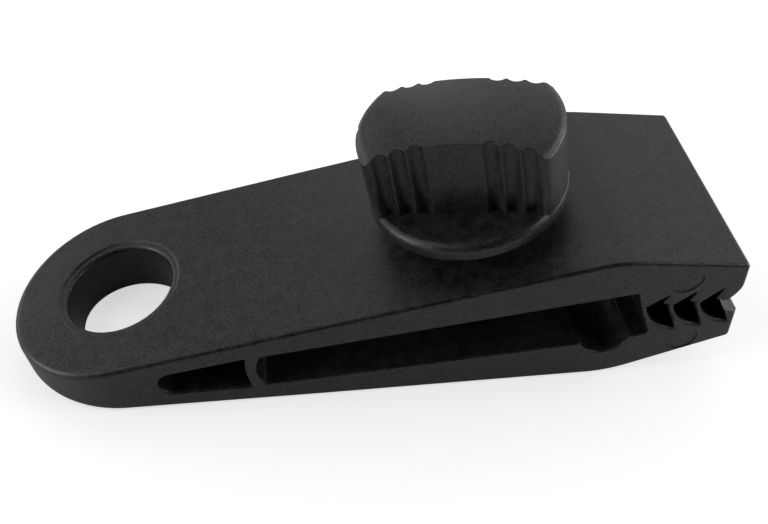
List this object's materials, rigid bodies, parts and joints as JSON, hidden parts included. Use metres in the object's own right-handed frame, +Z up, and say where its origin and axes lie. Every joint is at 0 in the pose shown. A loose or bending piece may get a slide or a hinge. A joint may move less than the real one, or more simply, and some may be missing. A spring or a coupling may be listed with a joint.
{
  "type": "tarp clip",
  "caption": "Moulded tarp clip with a round eyelet end, toothed jaws that flex about a thin web, and a fluted thumb screw that closes them.",
  "frame": {"origin": "under the middle of the clip's length and width, on the plane of the lower arm's flat underside", "axes": "+X from the eyelet towards the jaws, +Y across the clip, +Z up towards the knob"},
  "size_m": [0.0942, 0.0306, 0.0352],
  "materials": {
    "clip_nylon": "fine spark texture, matte",
    "screw_nylon": "fine spark texture, matte",
    "knob_nylon": "fine spark texture, matte"
  },
  "bodies": {
    "clip_base": {"lower_arm": "clip_nylon"},
    "upper_jaw": {"upper_arm": "clip_nylon"},
    "screw": {"screw_shaft": "screw_nylon"},
    "knob": {"thumb_knob": "knob_nylon"}
  },
  "joints": [
    {"name": "jaw_swing", "type": "hinge", "parent": "clip_base", "child": "upper_jaw", "pos_m": [-0.01341, 0, 0.01057], "axis": [0, -1, 0], "range_deg": [0, 5.5]},
    {"name": "screw_travel", "type": "slide", "parent": "clip_base", "child": "screw", "axis": [-0.2147, 0, 0.9767], "range_m": [0, 0.0035]},
    {"name": "knob_turn", "type": "hinge", "parent": "screw", "child": "knob", "pos_m": [0.01383, 0, 0.01821], "axis": [-0.2147, 0, 0.9767], "range_deg": [0, 630]}
  ],
  "couplings": [
    {"joint": "screw_travel", "follows": "knob_turn", "m_per_rad": 0.000318},
    {"joint": "jaw_swing", "follows": "knob_turn", "ratio": 0.00873}
  ]
}
